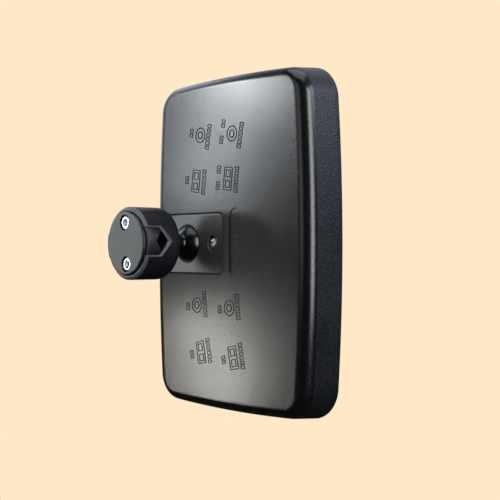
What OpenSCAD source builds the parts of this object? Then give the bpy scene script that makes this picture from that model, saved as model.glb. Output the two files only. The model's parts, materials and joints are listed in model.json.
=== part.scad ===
// Convex mirror head on a ball joint, with a two-part clamp for a round tube.
// Frame: the origin is on the axis of the clamped tube, at the middle of the clamp.
// +Y points out of the back of the head, -Y is the way the glass looks, +Z is up.

/* [Mirror head] */
// Height of the head at its widest line
head_h = 252; // [246:1:260]
// Width of the head at its widest line
head_w = 181.2; // [176:0.2:190]
// Depth from the flat back to the front rim
head_depth = 32; // [31:0.5:34]
// Radius of the rounded edge round the back
edge_r = 10; // [8:0.5:11]
// Radius of the corners at the widest line
corner_r = 21.7; // [20:0.1:24]
// Radius of the slight outward bow of all four sides
bow_r = 1400; // [1100:50:2500]
// Wall thickness of the housing
wall = 2.8; // [2.4:0.1:3]
// How far the centre of the head lies beside the ball
head_offset = 46.3; // [44:0.1:48]

/* [Glass] */
// Radius of curvature of the convex glass
glass_r = 1200; // [1000:50:1600]
// Thickness of the glass
glass_t = 3; // [2.5:0.5:3]
// Width of the front frame that shows round the glass
frame_w = 8; // [7:0.5:9]

/* [Ball joint] */
// Radius of the ball
ball_r = 15; // [14.8:0.1:15]
// Radius of the neck between the ball and the clamp
neck_r = 6.8; // [6:0.1:7]
// Depth of the ball's centre below the flat back
ball_depth = 6.5; // [6.3:0.1:6.7]
// Length of the cover plate
plate_l = 69; // [68:0.5:70]
// Width of the cover plate
plate_w = 44.6; // [44:0.2:46]
// Thickness of the cover plate
plate_t = 4; // [3.8:0.1:4.2]

/* [Tube clamp] */
// Radius of the clamp drum
drum_r = 27; // [26.8:0.1:28]
// Width of the jaws, which is the largest tube they take
jaw_w = 20; // [19:0.5:20]
// Included angle of the V in each jaw
v_angle = 113; // [110:1:116]
// Distance between the roots of the two Vs when closed
v_gap = 11.4; // [11:0.1:12]
// How far the clamp is turned about its own axis
clamp_roll = 4; // [0:1:6]

/* [Hidden] */
$fn = 96;

// Outline resolution: steps in each corner, along a long side and along a short side.
corner_steps = 7;
long_steps = 8;
short_steps = 6;

// Stations along Y.
drum_back_y = -18.5;
drum_front_y = 13;
cap_front_y = 15;
cap_seat_y = 9.5;
back_y = -42;
rim_y = back_y - head_depth;
bezel_front_y = rim_y - 2.2;
ball_y = back_y - ball_depth;

// Housing.
flare = 1.7;
rim_round = 2.4;
inner_r = edge_r - wall;
drain_r = 2;
drain_x = [-98, 6];

// Glass stack: every layer is concentric with the glass.
glass_proud = 1.2;
glass_y = bezel_front_y - glass_proud;
sphere_y = glass_y + glass_r;
seal_front = 1.2;
foam_t = 1;
backing_t = 2.5;
bezel_gap = 0.2;
bezel_skirt = 1.8;
bezel_depth = 13;
glass_inset = 7.3;
seal_out = 5.6;
seal_in = 9.8;
foam_inset = 10;
dome_h = 40;
dome_w = 175;
backing_screw_x = 60;
backing_screw_z = 92;

// Cover plate, in its recess.
plate_right = -43;
plate_gap = 0.9;
plate_r = 4;
plate_y = back_y - 0.3;
recess_floor_y = plate_y - plate_t - 0.2;
recess_under_y = recess_floor_y - wall;
recess_wall = 2.5;
plate_screw_x = -31;
plate_boss_r = 8;
hole_r = 14.6;
seat_gap = 0.15;
tongue_x = 21.2;
tongue_t = 2.5;
tongue_foot = 6;
tongue_w = 20;

// Socket bracket behind the recess.
cup_t = 1.9;
cup_r = ball_r + 0.1 + cup_t;
cup_edge = 6.2;
bracket_seat_r = cup_r + seat_gap;
bracket_t = 3;
bracket_y = recess_under_y - 3.2;
bracket_screw_at = [[18.2, 16.2], [-37.5, 14.5]];
bracket_boss_r = 3.6;

// Metric fasteners.
m6_r = 3;
m6_nut_af = 10;
m6_nut_h = 5;
m6_head_r = 5;
m6_head_h = 6;
m6_hex_af = 5;
m6_button_r = 5.25;
m6_button_h = 3.3;
m6_dome_r = 6.35;
m8_r = 4;
m8_nut_af = 13;
m8_nut_h = 6.5;
m8_washer_r = 8;
m8_washer_t = 1.6;
thread_gap = 0.06;
turn_gap = 0.05;

// Clamp.
drum_edge_r = 7;
drum_chamfer = 1.6;
cap_r = 23.3;
cap_gap = 0.6;
jaw_gap = 0.4;
clamp_screw_z = 15.4;
head_sink = 0.9;
head_seat_y = cap_front_y - head_sink - m6_head_h;
washer_t = 1;
washer_r = 5.5;
counterbore_r = 5.7;
cap_boss_r = 7.6;
cap_boss_y = 2;
pocket_r = 8;
pocket_y = 1.2;
nut_seat_y = -1.9;
screw_l = 25;
v_slope = 1 / tan(v_angle / 2);
body_v_depth = jaw_w / 2 * v_slope;
cap_v_half = 6.4;
cap_v_depth = cap_v_half * v_slope;
stud_pocket_y = -14;
stud_pocket_r = 8.6;

function hex_r(af) = af / 2 / cos(30);

// Corner points of one quarter, anticlockwise from angle a.
function corner(cx, cz, r, a) =
  [for (i = [0 : corner_steps]) [cx + r * cos(a + 90 * i / corner_steps), cz + r * sin(a + 90 * i / corner_steps)]];

// Points strictly between p and q.
function between(p, q, steps) = [for (i = [1 : steps - 1]) p + (q - p) * i / steps];

// Each side bows outwards: a point moves in towards the axis as it nears a corner.
function bowed(p, w, h) = [p.x * (1 - p.y * p.y / (2 * bow_r * w)), p.y * (1 - p.x * p.x / (2 * bow_r * h))];

// Outline of the head, moved in from its widest line by inset.
function outline(inset) =
  let (
    w = head_w / 2 - inset,
    h = head_h / 2 - inset,
    r = max(corner_r - inset, 2),
    a = corner(w - r, h - r, r, 0),
    b = corner(-w + r, h - r, r, 90),
    c = corner(-w + r, -h + r, r, 180),
    d = corner(w - r, -h + r, r, 270),
    last = corner_steps,
    raw = concat(
      a, between(a[last], b[0], short_steps),
      b, between(b[last], c[0], long_steps),
      c, between(c[last], d[0], short_steps),
      d, between(d[last], a[0], long_steps))
  )
  [for (p = raw) bowed(p, w, h)];

// A solid through stations [y, inset], each an outline of the head, with the first and last closed.
module loft(stations) {
  rings = [for (s = stations) outline(s[1])];
  n = len(rings[0]);
  m = len(stations);
  points = [for (k = [0 : m - 1]) for (p = rings[k]) [p.x - head_offset, stations[k][0], p.y]];
  sides = [for (k = [0 : m - 2]) for (i = [0 : n - 1])
    let (j = (i + 1) % n)
    each [[k * n + i, (k + 1) * n + i, (k + 1) * n + j], [k * n + i, (k + 1) * n + j, k * n + j]]];
  first = [for (i = [0 : n - 1]) i];
  end = [for (i = [n - 1 : -1 : 0]) (m - 1) * n + i];
  polyhedron(points = points, faces = concat([first], sides, [end]), convexity = 4);
}

// Local z becomes +Y, measured from station y.
module on_y(y, x = 0, z = 0) {
  translate([x, y, z]) rotate([-90, 0, 0]) children();
}

module rod(r, y0, y1, x = 0, z = 0, fn = 64) {
  on_y(y0, x, z) cylinder(r = r, h = y1 - y0, $fn = fn);
}

module hex_rod(af, y0, y1, x = 0, z = 0) {
  on_y(y0, x, z) rotate(30) cylinder(r = hex_r(af), h = y1 - y0, $fn = 6);
}

module box(x0, x1, y0, y1, z0, z1) {
  translate([x0, y0, z0]) cube([x1 - x0, y1 - y0, z1 - z0]);
}

// Rounded block with its length along X, standing on the XZ plane.
module rounded_block(x0, x1, half_z, r, y0, y1) {
  on_y(y0) linear_extrude(y1 - y0) union() {
    translate([x0 + r, -half_z]) square([x1 - x0 - 2 * r, 2 * half_z]);
    translate([x0, -half_z + r]) square([x1 - x0, 2 * half_z - 2 * r]);
    for (x = [x0 + r, x1 - r]) for (z = [-half_z + r, half_z - r]) translate([x, z]) circle(r, $fn = 32);
  }
}

// Solid dome of radius r, facing -Y, wide enough to cover the head.
module dome(r) {
  translate([-head_offset, sphere_y, 0]) rotate([90, 0, 0]) rotate_extrude($fn = 128) intersection() {
    circle(r, $fn = 3600);
    translate([0, r - dome_h]) square([dome_w, dome_h + 1]);
  }
}

// A layer of the glass stack between two radii, cut to the head's outline.
module layer(outer, inner, inset) {
  intersection() {
    loft([[back_y, inset], [rim_y - 12, inset]]);
    difference() {
      dome(outer);
      dome(inner);
    }
  }
}

module at_backing_screws() {
  for (x = [-backing_screw_x, backing_screw_x]) for (z = [-backing_screw_z, backing_screw_z])
    translate([x - head_offset, 0, z]) children();
}

module at_bracket_screws() {
  for (p = bracket_screw_at) for (side = [-1, 1]) translate([p.x, 0, side * p.y]) children();
}

// Everything on the clamp is turned about the ball joint's axis.
module rolled() {
  rotate([0, clamp_roll, 0]) children();
}

// Height of the rear face of the backing plate at the screws.
backing_screw_d2 = pow(backing_screw_x, 2) + pow(backing_screw_z, 2);
backing_rear_r = glass_r - glass_t - foam_t - backing_t;
backing_rear_y = sphere_y - sqrt(pow(backing_rear_r, 2) - backing_screw_d2);
backing_front_y = sphere_y - sqrt(pow(backing_rear_r + backing_t, 2) - backing_screw_d2);

module housing_shell() {
  arc_steps = [0 : 15 : 90];
  outer_edge = [for (a = arc_steps) [back_y - edge_r * (1 - cos(a)), flare + edge_r * (1 - sin(a))]];
  inner_edge = [for (a = arc_steps)
    [back_y - wall - inner_r * (1 - cos(a)), flare + wall + inner_r * (1 - sin(a))]];
  rim = [for (a = [0 : 30 : 90])
    [rim_y + rim_round - rim_round * sin(a), (wall - 0.8) * (1 - cos(a))]];
  inner_back = [for (i = [len(inner_edge) - 1 : -1 : 0]) inner_edge[i]];
  loft(concat(outer_edge, rim, [[rim_y, wall]], inner_back));
}

module rear_housing() {
  recess_x0 = plate_right - plate_gap;
  recess_x1 = plate_right + plate_l + plate_gap;
  recess_z = plate_w / 2 + plate_gap;
  color("#1b1c1e") difference() {
    union() {
      housing_shell();
      rounded_block(recess_x0 - recess_wall, recess_x1 + recess_wall, recess_z + recess_wall, plate_r,
        recess_under_y, back_y - wall / 2);
      at_backing_screws() rod(4.5, backing_rear_y + 0.7, back_y - wall / 2);
      at_bracket_screws() rod(bracket_boss_r, bracket_y, recess_under_y + 1);
    }
    rounded_block(recess_x0, recess_x1, recess_z, plate_r + plate_gap / 2, recess_floor_y, back_y + 1);
    rod(bracket_seat_r + 1, recess_under_y - 1, recess_floor_y + 1);
    rod(plate_boss_r + 0.6, recess_under_y - 1, recess_floor_y + 1, plate_screw_x);
    box(tongue_x - 0.4, tongue_x + tongue_t + 0.4, recess_under_y - 1, recess_floor_y + 1,
      -tongue_w / 2 - 0.5, tongue_w / 2 + 0.5);
    at_backing_screws() rod(1.6, backing_rear_y - 1, backing_rear_y + 15);
    at_bracket_screws() rod(1.4, bracket_y - 1, recess_floor_y - 1);
    for (x = drain_x) translate([x, back_y - 20, -head_h / 2 - 5]) cylinder(r = drain_r, h = 20, $fn = 32);
  }
}

module front_bezel() {
  out = wall + bezel_gap;
  back = bezel_front_y + bezel_depth;
  back_out = out + flare * (back - rim_y) / (head_depth - edge_r);
  color("#232427") difference() {
    loft([[back, back_out], [rim_y, out], [bezel_front_y + 1, out], [bezel_front_y, out + 1]]);
    loft([[bezel_front_y + 11, out + frame_w + 2.2], [bezel_front_y - 1, out + frame_w - 2.7]]);
    intersection() {
      loft([[back + 1, back_out + bezel_skirt], [rim_y, out + bezel_skirt],
        [bezel_front_y - 1, out + bezel_skirt]]);
      dome(glass_r + seal_front + 0.1);
    }
  }
}

module mirror_glass() {
  color("#c9d4dc") layer(glass_r, glass_r - glass_t, glass_inset);
}

module glass_seal() {
  color("#101112") difference() {
    layer(glass_r + seal_front, glass_r - glass_t - foam_t, seal_out);
    layer(glass_r, glass_r - glass_t, glass_inset);
    loft([[back_y, seal_in], [rim_y - 12, seal_in]]);
  }
}

module foam_pad() {
  color("#3a3c3e") layer(glass_r - glass_t, glass_r - glass_t - foam_t, foam_inset);
}

module backing_plate() {
  color("#2a2b2d") difference() {
    layer(glass_r - glass_t - foam_t, backing_rear_r, seal_out);
    at_backing_screws() {
      rod(2, backing_front_y - 2, backing_rear_y + 2);
      rod(3.4, backing_front_y - 2, backing_front_y + 1.3);
    }
  }
}

module backing_screws() {
  color("#b9bcc0") at_backing_screws() {
    rod(1.5, backing_front_y + 1, backing_rear_y + 13);
    rod(3, backing_front_y + 0.4, backing_front_y + 1.3);
  }
}

module cover_plate() {
  color("#2c2d2f") difference() {
    union() {
      rounded_block(plate_right, plate_right + plate_l, plate_w / 2, plate_r, plate_y - plate_t, plate_y);
      rod(plate_boss_r, plate_y - plate_t - 2.6, plate_y - 1, plate_screw_x);
      box(tongue_x, tongue_x + tongue_t, recess_under_y - 2.4, plate_y - 1, -tongue_w / 2, tongue_w / 2);
      box(tongue_x, tongue_x + tongue_foot, recess_under_y - 2.4, recess_under_y - 0.3,
        -tongue_w / 2, tongue_w / 2);
    }
    translate([0, ball_y, 0]) sphere(ball_r + seat_gap);
    on_y(plate_y - 1.2) cylinder(r1 = hole_r - 0.9, r2 = hole_r + 0.1, h = 1.3);
    rod(m6_button_r + 0.5, plate_y - m6_button_h, plate_y + 1, plate_screw_x);
    rod(m6_r + 0.3, plate_y - 8, plate_y + 1, plate_screw_x);
  }
}

module plate_screw() {
  seat = plate_y - m6_button_h;
  color("#cfd6da") difference() {
    union() {
      rod(m6_r, seat - 16, seat + 1, plate_screw_x);
      on_y(seat, plate_screw_x) rotate_extrude() intersection() {
        square([m6_button_r, m6_button_h]);
        translate([0, m6_button_h - m6_dome_r]) circle(m6_dome_r);
      }
    }
    hex_rod(4, seat + 1.3, seat + 5, plate_screw_x);
  }
}

module plate_nut() {
  seat = bracket_y - bracket_t;
  color("#c4cacd") difference() {
    hex_rod(m6_nut_af, seat - m6_nut_h, seat, plate_screw_x);
    rod(m6_r, seat - m6_nut_h - 1, seat + 1, plate_screw_x);
  }
}

module socket_bracket() {
  seat = bracket_y - bracket_t;
  color("#36383b") difference() {
    union() {
      rounded_block(-43, 23.5, 20.5, 4, seat, bracket_y);
      rod(bracket_seat_r + 3.4, bracket_y - bracket_t - 1, recess_under_y - 0.1);
      translate([0, ball_y, 0]) intersection() {
        sphere(bracket_seat_r + 2);
        box(-25, 25, -30, -4, -25, 25);
      }
      rod(plate_boss_r, seat - m6_nut_h - 0.4, recess_under_y - 1.2, plate_screw_x);
    }
    translate([0, ball_y, 0]) sphere(bracket_seat_r);
    rod(bracket_seat_r, ball_y, recess_under_y + 1);
    rod(m6_r + 0.3, seat - 8, recess_under_y + 1, plate_screw_x);
    hex_rod(m6_nut_af + 0.3, seat - m6_nut_h - 1, seat, plate_screw_x);
    at_bracket_screws() rod(1.9, seat - 1, bracket_y + 1);
  }
}

module bracket_screws() {
  seat = bracket_y - bracket_t;
  color("#b9bcc0") at_bracket_screws() {
    rod(1.4, seat - 1, seat + 6.4, fn = 32);
    rod(3.2, seat - 2.2, seat, fn = 32);
  }
}

module bearing_cup() {
  color("#d8d4c4") intersection() {
    translate([0, ball_y, 0]) difference() {
      sphere(cup_r);
      sphere(ball_r + 0.1);
    }
    box(-25, 25, ball_y - 25, ball_y - cup_edge, -25, 25);
  }
}

module ball_stud() {
  color("#151517") union() {
    translate([0, ball_y, 0]) sphere(ball_r);
    rod(neck_r, ball_y, drum_back_y - 0.1);
    rod(m8_r, drum_back_y - 1, stud_pocket_y + m8_washer_t + m8_nut_h + 0.2);
  }
}

module drum_profile() {
  difference() {
    union() {
      translate([0, drum_back_y]) square([drum_r - drum_edge_r, drum_front_y - drum_back_y]);
      translate([0, drum_back_y + drum_edge_r]) square([drum_r, drum_front_y - drum_back_y - drum_edge_r]);
      translate([drum_r - drum_edge_r, drum_back_y + drum_edge_r]) circle(drum_edge_r);
    }
    polygon([[drum_r - drum_chamfer, drum_front_y], [drum_r + 1, drum_front_y - drum_chamfer - 1],
      [drum_r + 1, drum_front_y + 1], [drum_r - drum_chamfer, drum_front_y + 1]]);
    translate([-drum_r, drum_back_y - 1]) square([drum_r, 60]);
  }
}

// Prism along X with a V groove, its root at y and its mouth half_w to each side.
module v_cut(y, half_w, depth, way) {
  translate([-40, 0, 0]) rotate([90, 0, 90]) linear_extrude(80)
    polygon([[y, 0], [y + way * depth, half_w], [y + way * (depth + 40), half_w],
      [y + way * (depth + 40), -half_w], [y + way * depth, -half_w]]);
}

module clamp_body() {
  color("#17181a") rolled() difference() {
    rotate([-90, 0, 0]) rotate_extrude() drum_profile();
    rod(cap_r + cap_gap, cap_seat_y, cap_front_y + 1);
    v_cut(-v_gap / 2, jaw_w / 2, body_v_depth, 1);
    for (z = [-clamp_screw_z, clamp_screw_z]) {
      rod(pocket_r, pocket_y, cap_front_y + 1, 0, z);
      rod(m6_r + 0.3, drum_back_y - 1, cap_front_y, 0, z);
      hex_rod(m6_nut_af + 0.2, drum_back_y - 1, nut_seat_y, 0, z);
    }
    rod(stud_pocket_r, stud_pocket_y, cap_front_y);
    rod(m8_r + 0.2, drum_back_y - 1, cap_front_y);
  }
}

module clamp_nuts() {
  color("#c4cacd") rolled() for (z = [-clamp_screw_z, clamp_screw_z]) difference() {
    hex_rod(m6_nut_af, nut_seat_y - m6_nut_h, nut_seat_y, 0, z);
    rod(m6_r + thread_gap, nut_seat_y - m6_nut_h - 1, nut_seat_y + 1, 0, z);
  }
}

module stud_washer() {
  color("#c4cacd") rolled() difference() {
    rod(m8_washer_r, stud_pocket_y, stud_pocket_y + m8_washer_t);
    rod(m8_r + 0.2, stud_pocket_y - 1, stud_pocket_y + m8_washer_t + 1);
  }
}

module stud_nut() {
  base = stud_pocket_y + m8_washer_t + turn_gap;
  color("#c4cacd") rolled() difference() {
    hex_rod(m8_nut_af, base, base + m8_nut_h);
    rod(m8_r + thread_gap, base - 1, base + m8_nut_h + 1);
  }
}

module clamp_cap() {
  half = jaw_w / 2 - jaw_gap;
  tip_y = v_gap / 2 + 0.1 - cap_v_depth;
  face_r = 1.4;
  color("#3b3e3e") rolled() difference() {
    union() {
      rod(cap_r, cap_seat_y + 0.1, cap_front_y - face_r, fn = 96);
      rotate([-90, 0, 0]) rotate_extrude() difference() {
        union() {
          translate([0, cap_front_y - 2 * face_r]) square([cap_r - face_r, 2 * face_r]);
          translate([cap_r - face_r, cap_front_y - face_r]) circle(face_r);
        }
        translate([-cap_r, 0]) square([cap_r, 60]);
      }
      intersection() {
        rod(drum_r - 0.2, tip_y, drum_front_y - 0.2, fn = 96);
        box(-40, 40, tip_y, drum_front_y - 0.2, -half, half);
      }
      for (z = [-clamp_screw_z, clamp_screw_z]) rod(cap_boss_r, cap_boss_y, cap_seat_y + 1, 0, z);
    }
    v_cut(v_gap / 2 + 0.1, cap_v_half, cap_v_depth, -1);
    for (z = [-clamp_screw_z, clamp_screw_z]) {
      rod(counterbore_r, head_seat_y - washer_t, cap_front_y + 1, 0, z);
      rod(m6_r + 0.3, 0, cap_front_y + 1, 0, z);
    }
  }
}

module clamp_washers() {
  color("#cfd6da") rolled() for (z = [-clamp_screw_z, clamp_screw_z]) difference() {
    rod(washer_r, head_seat_y - washer_t, head_seat_y - turn_gap, 0, z);
    rod(m6_r + 0.2, head_seat_y - washer_t - 1, head_seat_y + 1, 0, z);
  }
}

module clamp_screw(z) {
  chamfer = 0.5;
  color("#dbe3e8") rolled() translate([0, 0, z]) difference() {
    union() {
      rod(m6_r, head_seat_y - screw_l + chamfer, head_seat_y + 1);
      on_y(head_seat_y - screw_l) cylinder(r1 = m6_r - chamfer, r2 = m6_r, h = chamfer, $fn = 64);
      rod(m6_head_r, head_seat_y, head_seat_y + m6_head_h - chamfer);
      on_y(head_seat_y + m6_head_h - chamfer)
        cylinder(r1 = m6_head_r, r2 = m6_head_r - chamfer, h = chamfer, $fn = 64);
    }
    hex_rod(m6_hex_af, head_seat_y + m6_head_h - 3, head_seat_y + m6_head_h + 1);
  }
}

rear_housing();
front_bezel();
glass_seal();
mirror_glass();
foam_pad();
backing_plate();
backing_screws();
cover_plate();
plate_screw();
plate_nut();
socket_bracket();
bracket_screws();
bearing_cup();
ball_stud();
clamp_body();
clamp_nuts();
stud_nut();
stud_washer();
clamp_cap();
clamp_washers();
clamp_screw(clamp_screw_z);  // clamp_screw_upper
clamp_screw(-clamp_screw_z);  // clamp_screw_lower
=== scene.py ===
import json
import math

import bmesh
import bpy
from mathutils import Matrix, Quaternion, Vector

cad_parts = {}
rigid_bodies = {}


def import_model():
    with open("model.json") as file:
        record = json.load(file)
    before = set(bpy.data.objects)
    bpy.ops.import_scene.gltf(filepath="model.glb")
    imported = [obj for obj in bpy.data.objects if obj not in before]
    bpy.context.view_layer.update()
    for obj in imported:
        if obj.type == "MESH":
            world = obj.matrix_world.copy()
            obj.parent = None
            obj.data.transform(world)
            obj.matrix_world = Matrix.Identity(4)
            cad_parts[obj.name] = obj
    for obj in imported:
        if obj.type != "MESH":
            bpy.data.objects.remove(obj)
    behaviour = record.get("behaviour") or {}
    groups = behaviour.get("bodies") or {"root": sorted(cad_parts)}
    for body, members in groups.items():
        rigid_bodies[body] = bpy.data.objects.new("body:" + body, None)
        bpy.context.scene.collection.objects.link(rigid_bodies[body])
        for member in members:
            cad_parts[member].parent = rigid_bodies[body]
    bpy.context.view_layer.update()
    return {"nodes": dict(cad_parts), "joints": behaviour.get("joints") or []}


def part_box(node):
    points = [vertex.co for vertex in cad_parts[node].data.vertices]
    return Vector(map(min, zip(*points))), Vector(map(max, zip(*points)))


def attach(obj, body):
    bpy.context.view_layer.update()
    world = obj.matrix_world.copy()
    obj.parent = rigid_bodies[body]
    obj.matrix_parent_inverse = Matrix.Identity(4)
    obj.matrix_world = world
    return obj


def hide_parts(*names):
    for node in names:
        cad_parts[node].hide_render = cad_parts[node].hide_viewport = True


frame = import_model()

# A convex mirror head on a ball joint, with its tube clamp. Shapes are built in
# millimetres, in the row frame, and each piece is brought to metres when it is finished.
MM = 0.001


# ---- Places and sizes ----

def span(node):
    """Lowest and highest corner of a CAD node, in millimetres."""
    low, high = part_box(node)
    return low / MM, high / MM


def joint_at(name):
    """Where a joint sits, in millimetres."""
    joint = next(j for j in frame["joints"] if j["name"] == name)
    return Vector(joint["pos_m"]) / MM


head_low, head_high = span("rear_housing")
head_x = (head_low.x + head_high.x) / 2
half_w = (head_high.x - head_low.x) / 2
half_h = head_high.z
back_y = head_high.y
rim_y = head_low.y

# Housing section.
CORNER_R = 21.7
BOW_R = 1400
EDGE_R = 10
EDGE_DROP = 7.4
FLARE = 1.7
WALL = 2.8
RIM_ROUND = 2.4
RIM_FLAT = 0.8
BACK_MARGIN = 1.2
DRAIN_R = 2
DRAIN_X = (-51.7, 52.3)
DRAIN_FROM_BACK = 20
DRAIN_REACH = 20
DRAIN_START = 5

# Steps along the head's outline: round a corner, and along a long and a short side.
CORNER_STEPS = 18
LONG_STEPS = 40
SHORT_STEPS = 28

# Faces of the side wall lie past this share of the head's half size, and the Y part of their
# normals is below this.
WALL_ZONE = 0.8
WALL_STEEPNESS = 0.13

# Cover plate, its recess and the ball.
plate_low, plate_high = span("cover_plate")
plate_y = plate_high.y
plate_x = (plate_low.x + plate_high.x) / 2
plate_half_x = (plate_high.x - plate_low.x) / 2
plate_half_z = plate_high.z
PLATE_T = 4
PLATE_R = 4
PLATE_GAP = 0.9
PLATE_EDGE = 0.7
PLATE_MARGIN = 0.5
RECESS_WALL = 2.5
RECESS_CORNER = 0.45
RECESS_BREAK = 0.35
# Room round the ball and the screw's boss, where they go through the floor of the recess.
CUP_ROOM = 3.1
BOSS_ROOM = 0.6
# Faces this near the plate's plan, and no flatter than this, are the walls of the recess, painted darker
# as shade.
RECESS_REACH = 2
RECESS_STEEPNESS = 0.95
recess_floor_y = plate_y - PLATE_T - 0.2
recess_under_y = recess_floor_y - WALL
plate_screw_low, plate_screw_high = span("plate_screw")
plate_screw_x = (plate_screw_low.x + plate_screw_high.x) / 2
button_r = (plate_screw_high.x - plate_screw_low.x) / 2
BUTTON_H = 3.3
BUTTON_DOME_R = 6.35
BUTTON_L = 16
BUTTON_SOCKET = 4
THREAD_CHAMFER = 0.5
BOSS_R = 8
BOSS_DEPTH = 2.6
ball = joint_at("head_pan")
BALL_R = 15
HOLE_R = 14.6
NECK_R = 6.8
NECK_FILLET = 3
STUD_CHAMFER = 0.6
BALL_CLEARANCE = 0.15
M6_R = 3
M8_R = 4

# Glass and its frame.
glass_low = span("mirror_glass")[0]
GLASS_R = 1200
GLASS_T = 3
GLASS_INSET = 7.3
GLASS_EDGE_R = 0.35
GLASS_RINGS = 26
sphere_y = glass_low.y + GLASS_R
bezel_low, bezel_high = span("front_bezel")
BEZEL_OUT = 3
BEZEL_SKIRT = 1.8
BEZEL_CLEAR = 1.3
BEZEL_NOSE_R = 1.4
BEZEL_LIP_R = 1
OPENING_FRONT = 8.7
OPENING_BAND = 6
OPENING_SLOPE = 0.408

# Clamp. The whole clamp is turned about its own axis, as its screws' joints show.
drum_low, drum_high = span("clamp_body")
cap_low, cap_high = span("clamp_cap")
screw_spot = joint_at("screw_upper_turn")
clamp_turn = Matrix.Rotation(math.atan2(screw_spot.x, screw_spot.z), 4, "Y")
screw_z = math.hypot(screw_spot.x, screw_spot.z)
drum_r = drum_high.z
DRUM_EDGE_R = 7
DRUM_CHAMFER = 1.6
CAP_R = 23.3
CAP_GAP = 0.6
CAP_SEAT_Y = 9.5
CAP_EDGE_R = 1.4
JAW_HALF = 10
JAW_GAP = 0.4
V_HALF_ANGLE = math.radians(56.5)
V_ROOT = 5.7
CAP_V_HALF = 6.4
EDGE_CHAMFER = 1.9
COUNTERBORE_R = 5.7
HEAD_R = 5
HEAD_H = 6
HEAD_SINK = 0.9
CAP_SOCKET = 5
SCREW_L = 25
RIDGE_COUNT = 36
RIDGE_R = 0.15
RIDGE_MARGIN = 0.8
WASHER_T = 1
NUT_ACROSS = 10.2
SCREW_CLEARANCE = 0.3
STUD_CLEARANCE = 0.2
STUD_POCKET_R = 8.6
# The cap's two bosses, and the drum's pockets for them.
CAP_BOSS_R = 7.6
CAP_BOSS_Y = 2
POCKET_R = 8
POCKET_Y = 1.2
# Faces of the drum that face outwards between these two shares, and are in front of this y,
# are the chamfers of the slot and the V. They are painted paler, as a highlight.
HIGHLIGHT_LOW = 0.35
HIGHLIGHT_HIGH = 0.95
HIGHLIGHT_FROM_Y = -8
# Faces of the cap that face +Y less than this aren't its grey front.
CAP_FLAT = 0.8


# ---- Mesh code ----

def link(name, mesh):
    """A new object in the scene with this mesh."""
    made = bpy.data.objects.new(name, mesh)
    bpy.context.scene.collection.objects.link(made)
    return made


def solid(name, rings, tube=False):
    """A closed surface through rings of points. Its ends are filled, or joined for a tube."""
    count = len(rings[0])
    points = [p for ring in rings for p in ring]
    faces = []
    last = len(rings) if tube else len(rings) - 1
    for k in range(last):
        a = k * count
        b = (k + 1) % len(rings) * count
        for i in range(count):
            j = (i + 1) % count
            faces.append((a + i, b + i, b + j, a + j))
    if not tube:
        faces.append(tuple(range(count)))
        faces.append(tuple(range(last * count, (last + 1) * count)))
    mesh = bpy.data.meshes.new(name)
    mesh.from_pydata(points, [], faces)
    shape = bmesh.new()
    shape.from_mesh(mesh)
    bmesh.ops.remove_doubles(shape, verts=shape.verts, dist=1e-4)
    bmesh.ops.recalc_face_normals(shape, faces=shape.faces)
    shape.to_mesh(mesh)
    shape.free()
    return link(name, mesh)


def arc(centre_r, centre_y, radius, start, end, steps):
    """Points of a profile along an arc. Angles are in degrees, from the r axis towards +Y."""
    angles = [math.radians(start + (end - start) * i / steps) for i in range(steps + 1)]
    return [(centre_r + radius * math.cos(a), centre_y + radius * math.sin(a)) for a in angles]


def revolve(name, profile, x=0.0, z=0.0, steps=96):
    """Turns a profile of (radius, y) points about a line along Y."""
    turns = [2 * math.pi * i / steps for i in range(steps)]
    rings = [[(x + r * math.cos(a), y, z + r * math.sin(a)) for a in turns] for r, y in profile]
    return solid(name, rings)


def rod(radius, y0, y1, x=0.0, z=0.0, steps=64):
    """A round bar along Y."""
    return revolve("rod", [(radius, y0), (radius, y1)], x, z, steps)


def hexagon(across, y0, y1, x=0.0, z=0.0):
    """A hexagonal rod with two flats facing up and down, as the CAD's are."""
    made = rod(across / 2 / math.cos(math.pi / 6), y0, y1, 0, 0, 6)
    made.data.transform(Matrix.Translation((x, 0, z)) @ Matrix.Rotation(math.pi / 6, 4, "Y"))
    return made


def rounded(half_x, half_z, radius, y, x=0.0, z=0.0, steps=10):
    """A ring in the shape of a rounded rectangle."""
    ring = []
    corners = ((1, 1), (-1, 1), (-1, -1), (1, -1))
    for k, (sx, sz) in enumerate(corners):
        for i in range(steps + 1):
            a = math.pi / 2 * (k + i / steps)
            ring.append((
                x + sx * (half_x - radius) + radius * math.cos(a),
                y,
                z + sz * (half_z - radius) + radius * math.sin(a),
            ))
    return ring


def prism(points, x0, x1):
    """A bar along X with a section of (y, z) points."""
    return solid("prism", [[(x, y, z) for y, z in points] for x in (x0, x1)])


def settle(made):
    """Turns a piece's modifiers into plain mesh."""
    graph = bpy.context.evaluated_depsgraph_get()
    mesh = bpy.data.meshes.new_from_object(made.evaluated_get(graph))
    made.modifiers.clear()
    made.data = mesh
    return made


def carve(body, how, tools):
    """Adds each tool to the body, or takes it away, and uses the tool up."""
    for tool in tools:
        modifier = body.modifiers.new("carve", "BOOLEAN")
        modifier.operation = how
        modifier.solver = "EXACT"
        modifier.object = tool
        settle(body)
        bpy.data.objects.remove(tool)
    return body


def soften(made, width):
    """Rounds the sharp edges of a piece."""
    modifier = made.modifiers.new("soften", "BEVEL")
    modifier.width = width
    modifier.segments = 3
    modifier.limit_method = "ANGLE"
    modifier.angle_limit = math.radians(40)
    return settle(made)


def join(name, parts):
    """One object made of several."""
    shape = bmesh.new()
    for part in parts:
        shape.from_mesh(part.data)
    mesh = bpy.data.meshes.new(name)
    for material in parts[0].data.materials:
        mesh.materials.append(material)
    shape.to_mesh(mesh)
    shape.free()
    for part in parts:
        bpy.data.objects.remove(part)
    return link(name, mesh)


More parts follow.
